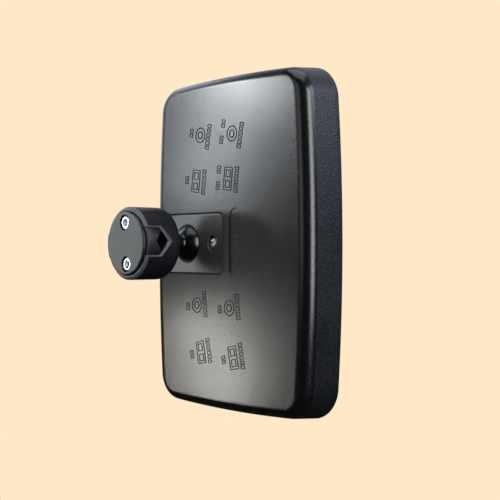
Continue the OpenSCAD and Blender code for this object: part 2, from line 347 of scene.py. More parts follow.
def outline(inset, inset_z=None):
    """The head's outline as (x, z), moved in from its widest line. Each side bows outwards."""
    w = half_w - inset
    h = half_h - (inset if inset_z is None else inset_z)
    r = max(CORNER_R - inset, 2)
    corners = []
    for k, (sx, sz) in enumerate(((1, 1), (-1, 1), (-1, -1), (1, -1))):
        turns = [math.pi / 2 * (k + i / CORNER_STEPS) for i in range(CORNER_STEPS + 1)]
        corners.append([
            (sx * (w - r) + r * math.cos(a), sz * (h - r) + r * math.sin(a)) for a in turns
        ])
    raw = []
    for k, steps in enumerate((SHORT_STEPS, LONG_STEPS, SHORT_STEPS, LONG_STEPS)):
        raw += corners[k]
        x0, z0 = corners[k][-1]
        x1, z1 = corners[(k + 1) % 4][0]
        raw += [(x0 + (x1 - x0) * i / steps, z0 + (z1 - z0) * i / steps) for i in range(1, steps)]
    return [
        (head_x + x * (1 - z * z / (2 * BOW_R * w)), z * (1 - x * x / (2 * BOW_R * h)))
        for x, z in raw
    ]


def head_ring(inset, y, inset_z=None):
    """The head's outline as a ring of points at one depth."""
    return [(x, y, z) for x, z in outline(inset, inset_z)]


def dome_y(x, z, radius):
    """Y of a sphere about the glass's centre of curvature."""
    return sphere_y - math.sqrt(radius ** 2 - (x - head_x) ** 2 - z ** 2)


def finish_piece(made, name, body, materials=(), replaces=(), turn=None, sharp=35):
    """Names a piece, brings it to metres, shades it, puts it on its body and hides the CAD nodes it
    replaces.

    Turn is a matrix in millimetres. Edges sharper than sharp degrees stay hard.
    """
    made.name = name
    made.data.name = name
    if turn is not None:
        made.data.transform(turn)
    made.data.transform(Matrix.Scale(MM, 4))
    if materials:
        made.data.materials.clear()
        for material in materials:
            made.data.materials.append(material)
    made.data.shade_smooth()
    made.data.set_sharp_from_angle(angle=math.radians(sharp))
    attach(made, body)
    if replaces:
        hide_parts(*replaces)
    return made


# ---- Node code ----

def colour(text):
    """An sRGB hex colour as linear RGBA."""
    parts = [int(text[i:i + 2], 16) / 255 for i in (1, 3, 5)]
    linear = [c / 12.92 if c <= 0.04045 else ((c + 0.055) / 1.055) ** 2.4 for c in parts]
    return (*linear, 1.0)


def add(tree, kind, inputs=None, **settings):
    """Adds a node. An input is a value, or a socket to link from."""
    node = tree.nodes.new(kind)
    for name, value in settings.items():
        setattr(node, name, value)
    for key, value in (inputs or {}).items():
        if isinstance(value, bpy.types.NodeSocket):
            tree.links.new(value, node.inputs[key])
        else:
            node.inputs[key].default_value = value
    return node


def start_material(name):
    """A new material's tree, and the piece's own coordinates in metres."""
    material = bpy.data.materials.new(name)
    material.use_nodes = True
    tree = material.node_tree
    tree.nodes.clear()
    return material, tree, add(tree, "ShaderNodeTexCoord").outputs["Object"]


def per_mm(size):
    """Scale of a texture whose grains are size millimetres across, on coordinates in metres."""
    return 1 / (size * MM)


def grained(name, base, top_colour, roughness, grain, depth, gloss=0.06, speckle=0.0):
    """Anything but bare metal: a fine grain, paler on its tops, over slow patches of gloss.

    Grain is its size and depth the height of its bump, both in millimetres. Speckle is how much
    the grain changes the roughness.
    """
    material, tree, where = start_material(name)
    cloud = add(tree, "ShaderNodeTexNoise", {"Vector": where, "Scale": per_mm(28), "Detail": 3.0})
    fine = add(tree, "ShaderNodeTexNoise", {
        "Vector": where, "Scale": per_mm(grain), "Detail": 2.0, "Roughness": 0.6,
    })
    tops = add(tree, "ShaderNodeMapRange", {
        "Value": fine.outputs["Fac"], "From Min": 0.35, "From Max": 0.65,
    })
    tint = add(tree, "ShaderNodeMix", {
        0: tops.outputs[0], 6: colour(base), 7: colour(top_colour),
    }, data_type="RGBA")
    rough = add(tree, "ShaderNodeMapRange", {
        "Value": cloud.outputs["Fac"], "From Min": 0.3, "From Max": 0.7,
        "To Min": roughness - (gloss + speckle) / 2, "To Max": roughness + (gloss - speckle) / 2,
    })
    pips = add(tree, "ShaderNodeMath", {
        0: fine.outputs["Fac"], 1: speckle, 2: rough.outputs[0],
    }, operation="MULTIPLY_ADD")
    cells = add(tree, "ShaderNodeTexVoronoi", {"Vector": where, "Scale": per_mm(grain * 1.6)})
    relief = add(tree, "ShaderNodeMath", {
        0: fine.outputs["Fac"], 1: cells.outputs["Distance"],
    }, operation="ADD")
    bump = add(tree, "ShaderNodeBump", {
        "Strength": 1.0, "Distance": depth * MM, "Height": relief.outputs[0],
    })
    shader = add(tree, "ShaderNodeBsdfPrincipled", {
        "Base Color": tint.outputs[2], "Roughness": pips.outputs[0],
        "Normal": bump.outputs[0], "IOR": 1.49,
    })
    add(tree, "ShaderNodeOutputMaterial", {"Surface": shader.outputs[0]})
    return material


def metal(name, base, dull, roughness, patch, grain, depth):
    """Metal with a surface of small patches, each a little duller or brighter."""
    material, tree, where = start_material(name)
    patches = add(tree, "ShaderNodeTexNoise", {"Vector": where, "Scale": per_mm(patch), "Detail": 4.0})
    tint = add(tree, "ShaderNodeMix", {
        0: patches.outputs["Fac"], 6: colour(base), 7: colour(dull),
    }, data_type="RGBA")
    rough = add(tree, "ShaderNodeMapRange", {
        "Value": patches.outputs["Fac"], "From Min": 0.3, "From Max": 0.7,
        "To Min": roughness * 0.8, "To Max": roughness * 1.25,
    })
    fine = add(tree, "ShaderNodeTexNoise", {"Vector": where, "Scale": per_mm(grain), "Detail": 2.0})
    bump = add(tree, "ShaderNodeBump", {
        "Strength": 1.0, "Distance": depth * MM, "Height": fine.outputs["Fac"],
    })
    shader = add(tree, "ShaderNodeBsdfPrincipled", {
        "Base Color": tint.outputs[2], "Metallic": 1.0, "Roughness": rough.outputs[0],
        "Normal": bump.outputs[0],
    })
    add(tree, "ShaderNodeOutputMaterial", {"Surface": shader.outputs[0]})
    return material


# ---- Materials ----

# No grain here is drawn finer than 0.4 mm, because it wouldn't show. The real grain of the
# moulded, plated, painted and ground surfaces is finer than what is drawn.

# Black polypropylene, moulded against a lightly spark-eroded face: satin, with a fine even
# grain. The grain is drawn at 1.2 mm, coarser than the real 0.2 mm, so that it shows.
face_plastic = grained(
    "black_polypropylene_satin", "#0a0b0b", "#0f1010", 0.23, 1.2, 0.012, gloss=0.02, speckle=0.27
)

# The moulded marks and the walls of the plate's recess, left matt in the tool and a little
# darker than the face. On the recess walls the darker colour is painted shade in the gap round
# the plate.
matt_marks_and_recess_shade = grained("black_polypropylene_matt", "#060607", "#0a0a0b", 0.6, 0.8, 0.01)

# The same polypropylene on the side walls, where the tool is eroded much coarser so that the
# part draws out cleanly: a rough grain. Its base is painted far darker than the face's, as shade
# on the walls, and the tops of its grain are painted paler than its pits, as glints. It is drawn
# at 1 mm, coarser than the real 0.4 mm, so that it shows.
wall_plastic_shade_and_glints = grained(
    "black_polypropylene_coarse", "#020203", "#1c1f25", 0.38, 1.0, 0.12, gloss=0.1, speckle=0.2
)

# Glass-filled nylon of the clamp drum: hard, slightly cloudy, with a faint fibre bloom.
drum_nylon = grained(
    "black_glass_filled_nylon", "#151518", "#1b1b1f", 0.38, 0.6, 0.012, gloss=0.08
)

# The same nylon on the chamfers of the slot and the V, painted paler as a highlight, and duller.
chamfer_highlight_nylon = grained("black_glass_filled_nylon_rubbed", "#585860", "#66666e", 0.5, 0.5, 0.01)

# Unfilled grey nylon of the clamp cap: a smooth matt face with a touch of green in the grey.
cap_nylon = grained("grey_nylon_matt", "#4c514e", "#565b58", 0.42, 0.55, 0.008, gloss=0.04)

# Polypropylene of the cover plate: a flatter, browner black than the housing. Its grain is
# drawn as coarse as the housing's, so that it shows.
plate_plastic = grained(
    "black_polypropylene_plate", "#454341", "#4c4a47", 0.34, 1.2, 0.02, gloss=0.03, speckle=0.25
)

# ABS of the front frame: smooth, with a soft sheen and hardly any grain.
bezel_plastic = grained("black_abs_sheen", "#121314", "#17181a", 0.28, 0.5, 0.005)

# Black ABS of the parts inside the head, straight from a machined tool.
inner_plastic = grained("black_abs_inner", "#1d1e20", "#26272a", 0.5, 1.2, 0.02)

# Acetal of the bearing cup: ivory, waxy and slick.
acetal = grained("natural_acetal", "#d9d5c6", "#cdc8b6", 0.32, 0.8, 0.004)

# Closed-cell polyethylene foam behind the glass: soft bubbles that show as pits.
foam = grained("grey_polyethylene_foam", "#37393b", "#434648", 0.85, 1.4, 0.2)

# EPDM rubber of the glass seal: dull, with a bloom of wax.
rubber = grained("black_epdm_rubber", "#0f1011", "#1a1b1c", 0.62, 0.9, 0.01)

# Steel of the ball stud, black electrocoated: a thin even paint with a low gloss. What is seen
# is the paint, so it isn't a metal to the shader.
ball_steel = grained("black_electrocoated_steel", "#030304", "#060607", 0.26, 0.9, 0.004)

# Zinc-plated steel of the screws, blue-passivated: bright, cool, with faint bluish patches.
zinc = metal("bright_zinc_plated_steel", "#f6fafd", "#e6edf2", 0.34, 2.2, 0.4, 0.002)


def silvered_glass():
    """Glass with a metal mirror coat: nearly perfect, with a very slight waver of bent glass."""
    material, tree, where = start_material("silvered_convex_glass")
    waver = add(tree, "ShaderNodeTexNoise", {"Vector": where, "Scale": per_mm(60), "Detail": 1.0})
    bump = add(tree, "ShaderNodeBump", {
        "Strength": 1.0, "Distance": 0.02 * MM, "Height": waver.outputs["Fac"],
    })
    dust = add(tree, "ShaderNodeTexNoise", {"Vector": where, "Scale": per_mm(9), "Detail": 5.0})
    haze = add(tree, "ShaderNodeMapRange", {
        "Value": dust.outputs["Fac"], "From Min": 0.4, "From Max": 0.8,
        "To Min": 0.012, "To Max": 0.05,
    })
    shader = add(tree, "ShaderNodeBsdfPrincipled", {
        "Base Color": colour("#e6eaec"), "Metallic": 1.0, "Roughness": haze.outputs[0],
        "Normal": bump.outputs[0],
    })
    add(tree, "ShaderNodeOutputMaterial", {"Surface": shader.outputs[0]})
    return material


# The mirror's face: silver seen through clear glass.
mirror_face = silvered_glass()

# Float glass where it is cut and ground: grey-green and frosted.
glass_edge = grained("ground_float_glass_edge", "#6f8a82", "#7f9a92", 0.45, 0.4, 0.01)


# ---- Geometry Nodes: beads along lines, in rows, and ridges round a screw head ----

def start_tree(name, sockets):
    """A geometry tree with named inputs. Gives the tree, its input node and the identifiers."""
    tree = bpy.data.node_groups.new(name, "GeometryNodeTree")
    tree.interface.new_socket("Geometry", in_out="INPUT", socket_type="NodeSocketGeometry")
    tree.interface.new_socket("Geometry", in_out="OUTPUT", socket_type="NodeSocketGeometry")
    names = {}
    for label, kind in sockets:
        made = tree.interface.new_socket(label, in_out="INPUT", socket_type="NodeSocket" + kind)
        names[label] = made.identifier
    return tree, add(tree, "NodeGroupInput"), names


def end_tree(tree, source, geometry):
    """Realize Instances, Set Material and the output."""
    real = add(tree, "GeometryNodeRealizeInstances", {"Geometry": geometry})
    painted = add(tree, "GeometryNodeSetMaterial", {
        "Geometry": real.outputs[0], "Material": source.outputs["Material"],
    })
    add(tree, "NodeGroupOutput", {"Geometry": painted.outputs[0]})


def bead_row_tree():
    """Repeats the lines it is given in a row, and lays a round bead along each."""
    tree, source, names = start_tree("bead_row", (
        ("Count", "Int"), ("Pitch", "Vector"), ("Bead Radius", "Float"), ("Material", "Material"),
    ))
    places = add(tree, "GeometryNodeMeshLine", {
        "Count": source.outputs["Count"], "Offset": source.outputs["Pitch"],
    }, mode="OFFSET")
    copies = add(tree, "GeometryNodeInstanceOnPoints", {
        "Points": places.outputs[0], "Instance": source.outputs["Geometry"],
    })
    lines = add(tree, "GeometryNodeRealizeInstances", {"Geometry": copies.outputs[0]})
    paths = add(tree, "GeometryNodeMeshToCurve", {"Mesh": lines.outputs[0]})
    section = add(tree, "GeometryNodeCurvePrimitiveCircle", {
        "Resolution": 10, "Radius": source.outputs["Bead Radius"],
    })
    beads = add(tree, "GeometryNodeCurveToMesh", {
        "Curve": paths.outputs[0], "Profile Curve": section.outputs[0], "Fill Caps": True,
    })
    end_tree(tree, source, beads.outputs[0])
    return tree, names


def knurl_tree():
    """Stands straight ridges round a screw head whose axis is the Y axis."""
    tree, source, names = start_tree("screw_head_knurl", (
        ("Ridges", "Int"), ("Head Radius", "Float"), ("Ridge Radius", "Float"),
        ("Ridge Length", "Float"), ("Ridge Middle", "Vector"), ("Material", "Material"),
    ))
    ring = add(tree, "GeometryNodeMeshCircle", {
        "Vertices": source.outputs["Ridges"], "Radius": source.outputs["Head Radius"],
    })
    ridge = add(tree, "GeometryNodeMeshCylinder", {
        "Vertices": 6, "Radius": source.outputs["Ridge Radius"],
        "Depth": source.outputs["Ridge Length"],
    })
    ridges = add(tree, "GeometryNodeInstanceOnPoints", {
        "Points": ring.outputs[0], "Instance": ridge.outputs[0],
    })
    upright = add(tree, "GeometryNodeTransform", {
        "Geometry": ridges.outputs[0], "Rotation": (math.pi / 2, 0, 0),
        "Translation": source.outputs["Ridge Middle"],
    })
    both = add(tree, "GeometryNodeJoinGeometry")
    tree.links.new(source.outputs["Geometry"], both.inputs[0])
    tree.links.new(upright.outputs[0], both.inputs[0])
    end_tree(tree, source, both.outputs[0])
    return tree, names


def grow(made, tree, names, values):
    """Runs a geometry tree on a piece, with each input set by its identifier."""
    modifier = made.modifiers.new(tree.name, "NODES")
    modifier.node_group = tree
    for label, value in values.items():
        modifier[names[label]] = value
    return settle(made)


bead_row, bead_names = bead_row_tree()
knurl, knurl_names = knurl_tree()


# ---- Rear housing ----

def housing_rings():
    """Rings from the flat back, round the edge, down the wall, round the rim and up inside."""
    rings = [head_ring(FLARE + EDGE_R + BACK_MARGIN, back_y, FLARE + EDGE_DROP + BACK_MARGIN)]
    for i in range(13):
        a = math.pi / 2 * i / 12
        rings.append(head_ring(
            FLARE + EDGE_R * (1 - math.sin(a)),
            back_y - EDGE_R * (1 - math.cos(a)),
            FLARE + EDGE_DROP * (1 - math.sin(a)),
        ))
    wall_top = back_y - EDGE_R
    wall_end = rim_y + RIM_ROUND
    for i in range(1, 7):
        t = i / 6
        rings.append(head_ring(FLARE * (1 - t), wall_top + (wall_end - wall_top) * t))
    for i in range(1, 7):
        a = math.pi / 2 * i / 6
        rings.append(head_ring(
            (WALL - RIM_FLAT) * (1 - math.cos(a)), rim_y + RIM_ROUND * (1 - math.sin(a))
        ))
    inner_r = EDGE_R - WALL
    rings.append(head_ring(WALL, rim_y))
    for i in range(6, -1, -1):
        a = math.pi / 2 * i / 6
        rings.append(head_ring(
            FLARE + WALL + inner_r * (1 - math.sin(a)),
            back_y - WALL - inner_r * (1 - math.cos(a)),
        ))
    return rings


def plate_block(grow_by, radius, y0, y1):
    """A block in the plan of the cover plate, made larger all round."""
    return solid("block", [
        rounded(plate_half_x + grow_by, plate_half_z + grow_by, radius, y, plate_x)
        for y in (y0, y1)
    ])


def plate_recess():
    """The recess for the cover plate, with a slightly broken mouth."""
    levels = (
        (0, recess_floor_y), (0, back_y - RECESS_BREAK),
        (3 * RECESS_BREAK, back_y + 2 * RECESS_BREAK),
    )
    return solid("recess", [
        rounded(plate_half_x + PLATE_GAP + g, plate_half_z + PLATE_GAP + g,
                PLATE_R + RECESS_CORNER + g, y, plate_x)
        for g, y in levels
    ])


# Long shallow recess beside the plate. It holds a row of blank cells.
BADGE_X = -57.8
BADGE_Z = 1
BADGE_HALF_X = 6.65
BADGE_HALF_Z = 25.2
BADGE_DEPTH = 0.7
BADGE_SLOPE = 0.7
BADGE_CELLS = 8
BADGE_PITCH = 5.4
BADGE_BEAD_R = 0.34


def badge_recess():
    """The long recess, round at both ends, with sloping sides."""
    rings = []
    for step in (-1, 0, 1):
        g = step * BADGE_SLOPE
        rings.append(rounded(
            BADGE_HALF_X + g, BADGE_HALF_Z + g, BADGE_HALF_X + g - 0.01,
            back_y + step * BADGE_DEPTH, BADGE_X, BADGE_Z, 16,
        ))
    return solid("badge", rings)


housing = solid("rear_housing", housing_rings())
carve(housing, "UNION", [
    plate_block(PLATE_GAP + RECESS_WALL, PLATE_R, recess_under_y, back_y - WALL / 2),
])
carve(housing, "DIFFERENCE", [
    plate_recess(),
    badge_recess(),
    rod(BALL_R + CUP_ROOM, recess_under_y - 1, recess_floor_y + 1),
    rod(BOSS_R + BOSS_ROOM, recess_under_y - 1, recess_floor_y + 1, plate_screw_x),
])
for x in DRAIN_X:
    drain = rod(DRAIN_R, 0, DRAIN_REACH)
    place = Matrix.Translation((head_x + x, back_y - DRAIN_FROM_BACK, -half_h - DRAIN_START))
    drain.data.transform(place @ Matrix.Rotation(math.pi / 2, 4, "X"))
    carve(housing, "DIFFERENCE", [drain])
finish_piece(
    housing, "rear_housing_shell", "head",
    (face_plastic, wall_plastic_shade_and_glints, matt_marks_and_recess_shade),
    ("rear_housing",),
)
# The side walls get their coarse grain, with painted shade and painted glints, and the walls of
# the plate's recess get the darker matt plastic, as painted shade.
for face in housing.data.polygons:
    out_x = (face.center.x / MM - head_x) / half_w
    out_z = face.center.z / MM / half_h
    outwards = out_x * face.normal.x + out_z * face.normal.z
    steep = outwards > 0 and abs(face.normal.y) < WALL_STEEPNESS
    if steep and max(abs(out_x), abs(out_z)) > WALL_ZONE:
        face.material_index = 1
    across = abs(face.center.x / MM - plate_x) - plate_half_x
    along = abs(face.center.z / MM) - plate_half_z
    if max(across, along) < RECESS_REACH and face.normal.y < RECESS_STEEPNESS:
        face.material_index = 2


# ---- Moulded marks on the back: plain rings, frames and cells, no lettering ----

BEAD_R = 0.52
BEAD_SINK = 0.12
CELL_PITCH = 3.3
# Shape, x from the head's middle, z, and the number of small pairs of cells beside it.
MARK_GROUPS = (
    ("ring", 29.5, 82.2, 1), ("ring", -7.8, 80.4, 2), ("frame", 34.9, 47.6, 1),
    ("frame", -3.2, 47.6, 2), ("ring", 33.7, -46.7, 1), ("ring", -4.7, -47.4, 1),
    ("frame", 28.7, -82.3, 1), ("frame", -9.2, -83.6, 1),
)
# Each group leans outwards by this many degrees for each millimetre from the middle.
LEAN_PER_MM = 0.146
ROW_SHIFT = -9.7
ROW_CELLS = 6
PAIR_SHIFT = 11.2
PAIR_PITCH = 12


def loop(half_u, half_w, u=0.0, w=0.0):
    """A closed rectangle."""
    return [
        (u - half_u, w - half_w), (u + half_u, w - half_w), (u + half_u, w + half_w),
        (u - half_u, w + half_w),
    ]


def ring_line(radius, steps=40):
    """A closed circle."""
    turns = [2 * math.pi * i / steps for i in range(steps)]
    return [(radius * math.cos(a), radius * math.sin(a)) for a in turns]


MARK_LINES = {
    "ring": [ring_line(5.5), ring_line(2.6, 24)],
    "frame": [loop(4.5, 8.3), loop(2.3, 2.5, 0, -3.9), loop(2.3, 2.5, 0, 3.9)],
    "pair": [loop(1.7, 1.1, 0, -1.7), loop(1.7, 1.1, 0, 1.7)],
    "cell": [loop(1.9, 1.05)],
}


def lay_beads(lines, x, z, lean, u=0.0, w=0.0, count=1, y=back_y - BEAD_SINK, bead=BEAD_R):
    """Beads along closed lines given across and along a mark, repeated along the mark."""
    c = math.cos(lean)
    s = math.sin(lean)
    points = []
    edges = []
    for line in lines:
        start = len(points)
        for a, b in line:
            points.append((x + (u + a) * c - (w + b) * s, y, z + (u + a) * s + (w + b) * c))
        edges += [(start + i, start + (i + 1) % len(line)) for i in range(len(line))]
    mesh = bpy.data.meshes.new("lines")
    mesh.from_pydata(points, edges, [])
    return grow(link("lines", mesh), bead_row, bead_names, {
        "Count": count, "Pitch": (-CELL_PITCH * s, 0.0, CELL_PITCH * c),
        "Bead Radius": bead, "Material": matt_marks_and_recess_shade,
    })


marks = []
for shape, x, z, pairs in MARK_GROUPS:
    lean = math.radians(LEAN_PER_MM * z)
    place = (head_x + x, z, lean)
    marks.append(lay_beads(MARK_LINES[shape], *place))
    row_start = -(ROW_CELLS - 1) / 2 * CELL_PITCH
    marks.append(lay_beads(MARK_LINES["cell"], *place, ROW_SHIFT, row_start, ROW_CELLS))
    for k in range(pairs):
        w = PAIR_PITCH * (k - (pairs - 1) / 2)
        marks.append(lay_beads(MARK_LINES["pair"], *place, PAIR_SHIFT, w))
finish_piece(join("marks", marks), "moulded_marks", "head", sharp=60)

badge_row = []
for k in range(BADGE_CELLS):
    w = BADGE_PITCH * (k - (BADGE_CELLS - 1) / 2)
    badge_row.append(lay_beads(
        [loop(3.4, 1.9)], BADGE_X, BADGE_Z, 0.0, 0.0, w, 1,
        back_y - BADGE_DEPTH - BEAD_SINK, BADGE_BEAD_R,
    ))
finish_piece(join("badge_row", badge_row), "badge_cells", "head", sharp=60)


# ---- Cover plate ----

def plate_rings():
    """The plate's block with its top edge rounded and a support ring inside the flat top."""
    rings = [rounded(plate_half_x, plate_half_z, PLATE_R, plate_y - PLATE_T, plate_x)]
    for i in range(6):
        a = math.pi / 2 * i / 5
        g = PLATE_EDGE * (1 - math.cos(a))
        rings.append(rounded(plate_half_x - g, plate_half_z - g, PLATE_R - g,
                             plate_y - PLATE_EDGE * (1 - math.sin(a)), plate_x))
    g = PLATE_EDGE + PLATE_MARGIN
    rings.append(rounded(plate_half_x - g, plate_half_z - g, PLATE_R - g, plate_y, plate_x))
    return rings


def ball_shape(radius):
    """A ball about the joint's centre."""
    return revolve("ball", arc(0, ball.y, radius, -90, 90, 48))


plate = solid("cover_plate", plate_rings())
seat_y = plate_y - BUTTON_H
carve(plate, "UNION", [rod(BOSS_R, plate_y - PLATE_T - BOSS_DEPTH, plate_y - 1, plate_screw_x)])
carve(plate, "DIFFERENCE", [
    ball_shape(BALL_R + BALL_CLEARANCE),
    revolve("mouth", [(HOLE_R - 1.1, plate_y - 1.5), (HOLE_R + 0.9, plate_y + 0.5)]),
    rod(button_r + 0.5, seat_y, plate_y + 1, plate_screw_x),
    revolve("broken_edge", [(button_r + 0.4, plate_y - 0.4), (button_r + 1.3, plate_y + 0.5)],
            plate_screw_x),
    rod(M6_R + SCREW_CLEARANCE, plate_y - 8, plate_y + 1, plate_screw_x),
])
finish_piece(plate, "cover_plate_moulding", "head", (plate_plastic,),
             ("cover_plate",))


def button_screw():
    """Button-head screw with a hexagon socket."""
    centre_y = seat_y + BUTTON_H - BUTTON_DOME_R
    edge = math.degrees(math.acos(button_r / BUTTON_DOME_R))
    tip = seat_y - BUTTON_L
    made = revolve("button_screw", (
        [(0, tip), (M6_R - THREAD_CHAMFER, tip), (M6_R, tip + THREAD_CHAMFER), (M6_R, seat_y),
         (button_r, seat_y)]
        + arc(0, centre_y, BUTTON_DOME_R, edge, 90, 14)
    ), plate_screw_x)
    carve(made, "DIFFERENCE", [
        hexagon(BUTTON_SOCKET, seat_y + 1.3, seat_y + 5, plate_screw_x),
        revolve("lead", [(1.9, seat_y + 2.7), (2.9, seat_y + 3.7)], plate_screw_x),
    ])
    return made


finish_piece(button_screw(), "plate_button_screw", "head", (zinc,), ("plate_screw",))


# ---- Glass and front frame ----

def glass_rings():
    """Rings over the back of the glass from its middle, round its edge and back over the front."""
    rings = []
    rim = outline(GLASS_INSET)
    for side, radius in ((-1, GLASS_R - GLASS_T), (1, GLASS_R)):
        surface = []
        for i in range(GLASS_RINGS + 1):
            scale = i / GLASS_RINGS * (1 - GLASS_EDGE_R / half_w)
            ring = []
            for x, z in rim:
                px = head_x + (x - head_x) * scale
                pz = z * scale
                ring.append((px, dome_y(px, pz, radius), pz))
            surface.append(ring)
        belt = [(x, dome_y(x, z, radius - side * GLASS_EDGE_R), z) for x, z in rim]
        rings += surface + [belt] if side < 0 else [belt] + surface[::-1]
    return rings


glass = solid("mirror_glass", glass_rings())
finish_piece(glass, "convex_mirror_glass", "head", (mirror_face, glass_edge),
             ("mirror_glass",))
# The front is the mirror. The edge and the back are ground glass.
glass_centre = Vector((head_x, sphere_y, 0)) * MM
for face in glass.data.polygons:
    if (face.center - glass_centre).length < (GLASS_R - 0.2) * MM:
        face.material_index = 1


def bezel_rings():
    """Section of the front frame, swept round the head. Its inner lip follows the glass."""
    front = bezel_low.y
    back = bezel_high.y
    slope = FLARE / (-rim_y + back_y - EDGE_R)
    back_out = BEZEL_OUT + slope * (back - rim_y)
    rings = [head_ring(back_out, back), head_ring(BEZEL_OUT, rim_y)]
    for r, y in arc(BEZEL_OUT + BEZEL_NOSE_R, front + BEZEL_NOSE_R, BEZEL_NOSE_R, 180, 270, 6):
        rings.append(head_ring(r, y))
    for r, y in arc(OPENING_FRONT - BEZEL_LIP_R, front + BEZEL_LIP_R, BEZEL_LIP_R, 270, 338, 5):
        rings.append(head_ring(r, y))
    near = outline(OPENING_FRONT)
    far = outline(OPENING_FRONT + OPENING_BAND)
    lip = []
    for (x0, z0), (x1, z1) in zip(near, far):
        y = dome_y(x0, z0, GLASS_R + BEZEL_CLEAR)
        share = OPENING_SLOPE * (y - front) / OPENING_BAND
        x = x0 + (x1 - x0) * share
        z = z0 + (z1 - z0) * share
        lip.append((x, dome_y(x, z, GLASS_R + BEZEL_CLEAR), z))
    rings.append(lip)
    inner = BEZEL_OUT + BEZEL_SKIRT
    rings.append([(x, dome_y(x, z, GLASS_R + BEZEL_CLEAR), z) for x, z in outline(inner)])
    rings.append(head_ring(back_out + BEZEL_SKIRT, back))
    return rings


finish_piece(solid("front_bezel", bezel_rings(), tube=True), "front_frame", "head",
             (bezel_plastic,), ("front_bezel",))


# ---- Ball stud ----

def stud_profile():
    """Ball, filleted neck, shoulder and threaded end."""
    reach = BALL_R + NECK_FILLET
    rise = math.sqrt(reach ** 2 - (NECK_R + NECK_FILLET) ** 2)
    meet = math.degrees(math.atan2(rise, NECK_R + NECK_FILLET))
    shoulder = drum_low.y - 0.1
    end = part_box("ball_stud")[1].y / MM
    return (
        arc(0, ball.y, BALL_R, -90, meet, 40)
        + arc(NECK_R + NECK_FILLET, ball.y + rise, NECK_FILLET, 180 + meet, 180, 8)
        + [(NECK_R, shoulder - STUD_CHAMFER), (NECK_R - STUD_CHAMFER, shoulder), (M8_R, shoulder),
           (M8_R, end - STUD_CHAMFER), (M8_R - STUD_CHAMFER, end), (0, end)]
    )


finish_piece(revolve("ball_stud", stud_profile()), "ball_stud_turned", "stud",
             (ball_steel,), ("ball_stud",))


# ---- Clamp ----

def stepped(points, steps=10):
    """The same closed line with each side cut into short steps."""
    out = []
    for k, (y0, z0) in enumerate(points):
        y1, z1 = points[(k + 1) % len(points)]
        out += [(y0 + (y1 - y0) * i / steps, z0 + (z1 - z0) * i / steps) for i in range(steps)]
    return out


def moved_out(points, distance):
    """A closed line in (y, z) moved outwards, with mitred corners."""
    out = []
    for k, here in enumerate(points):
        before = Vector(points[k - 1])
        after = Vector(points[(k + 1) % len(points)])
        here = Vector(here)
        a = (here - before).normalized()
        b = (after - here).normalized()
        na = Vector((a.y, -a.x))
        nb = Vector((b.y, -b.x))
        miter = (na + nb).normalized()
        out.append(tuple(here + miter * distance / max(miter.dot(na), 0.3)))
    return out


def jaw_cutter():
    """The slot and V of the drum, opening into a chamfer where it leaves the round side."""
    depth = JAW_HALF / math.tan(V_HALF_ANGLE)
    far = drum_high.y + 40
    plain = stepped([
        (-V_ROOT, 0), (-V_ROOT + depth, -JAW_HALF), (far, -JAW_HALF), (far, JAW_HALF),
        (-V_ROOT + depth, JAW_HALF),
    ])
    over = 2
    wide = moved_out(plain, EDGE_CHAMFER + over)
    side = [math.sqrt(drum_r ** 2 - z ** 2) for y, z in plain]
    sections = []
    for sign in (-1, 1):
        inner = [(sign * (s - EDGE_CHAMFER), y, z) for s, (y, z) in zip(side, plain)]
        outer = [(sign * (s + over), y, z) for s, (y, z) in zip(side, wide)]
        end = [(sign * 60, y, z) for y, z in wide]
        sections += [end, outer, inner] if sign < 0 else [inner, outer, end]
    return solid("jaw", sections)


drum = revolve("drum", (
    [(0, drum_low.y)]
    + arc(drum_r - DRUM_EDGE_R, drum_low.y + DRUM_EDGE_R, DRUM_EDGE_R, -90, 0, 12)
    + [(drum_r, drum_high.y - DRUM_CHAMFER), (drum_r - DRUM_CHAMFER, drum_high.y),
       (0, drum_high.y)]
), steps=180)
cuts = [rod(CAP_R + CAP_GAP, CAP_SEAT_Y, cap_high.y + 1, steps=120), jaw_cutter()]
nut_seat = span("clamp_nuts")[1].y
for z in (-screw_z, screw_z):
    cuts.append(rod(POCKET_R, POCKET_Y, cap_high.y + 1, 0, z))
    cuts.append(rod(M6_R + SCREW_CLEARANCE, drum_low.y - 1, cap_high.y, 0, z))
    cuts.append(hexagon(NUT_ACROSS, drum_low.y - 1, nut_seat, 0, z))
cuts.append(rod(STUD_POCKET_R, span("stud_washer")[0].y, cap_high.y))
cuts.append(rod(M8_R + STUD_CLEARANCE, drum_low.y - 1, cap_high.y))
carve(drum, "DIFFERENCE", cuts)
finish_piece(drum, "clamp_drum", "clamp", (drum_nylon, chamfer_highlight_nylon),
             ("clamp_body",), clamp_turn, 30)
# The chamfers of the slot and the V get the paler nylon: a painted highlight.
for face in drum.data.polygons:
    outwards = Vector((face.center.x, 0, face.center.z))
    at_side = outwards.length > (drum_r - EDGE_CHAMFER - 0.3) * MM
    if at_side and face.center.y > HIGHLIGHT_FROM_Y * MM:
        if HIGHLIGHT_LOW < face.normal.dot(outwards.normalized()) < HIGHLIGHT_HIGH:
            face.material_index = 1


def jaw_tab():
    """The cap's tongue, which fills the slot and carries the second V."""
    half = JAW_HALF - JAW_GAP
    radius = drum_r - 0.2
    edge = [math.asin(half / radius) * (2 * i / 16 - 1) for i in range(17)]
    plan = [(radius * math.cos(a), radius * math.sin(a)) for a in edge]
    plan += [(-x, -z) for x, z in plan]
    made = solid("tab", [[(x, y, z) for x, z in plan] for y in (cap_low.y, drum_high.y - 0.2)])
    soften(made, 0.6)
    depth = CAP_V_HALF / math.tan(V_HALF_ANGLE)
    root = cap_low.y + depth
    return carve(made, "DIFFERENCE", [prism([
        (root, 0), (root - depth, CAP_V_HALF), (root - depth - 20, CAP_V_HALF),
        (root - depth - 20, -CAP_V_HALF), (root - depth, -CAP_V_HALF),
    ], -40, 40)])


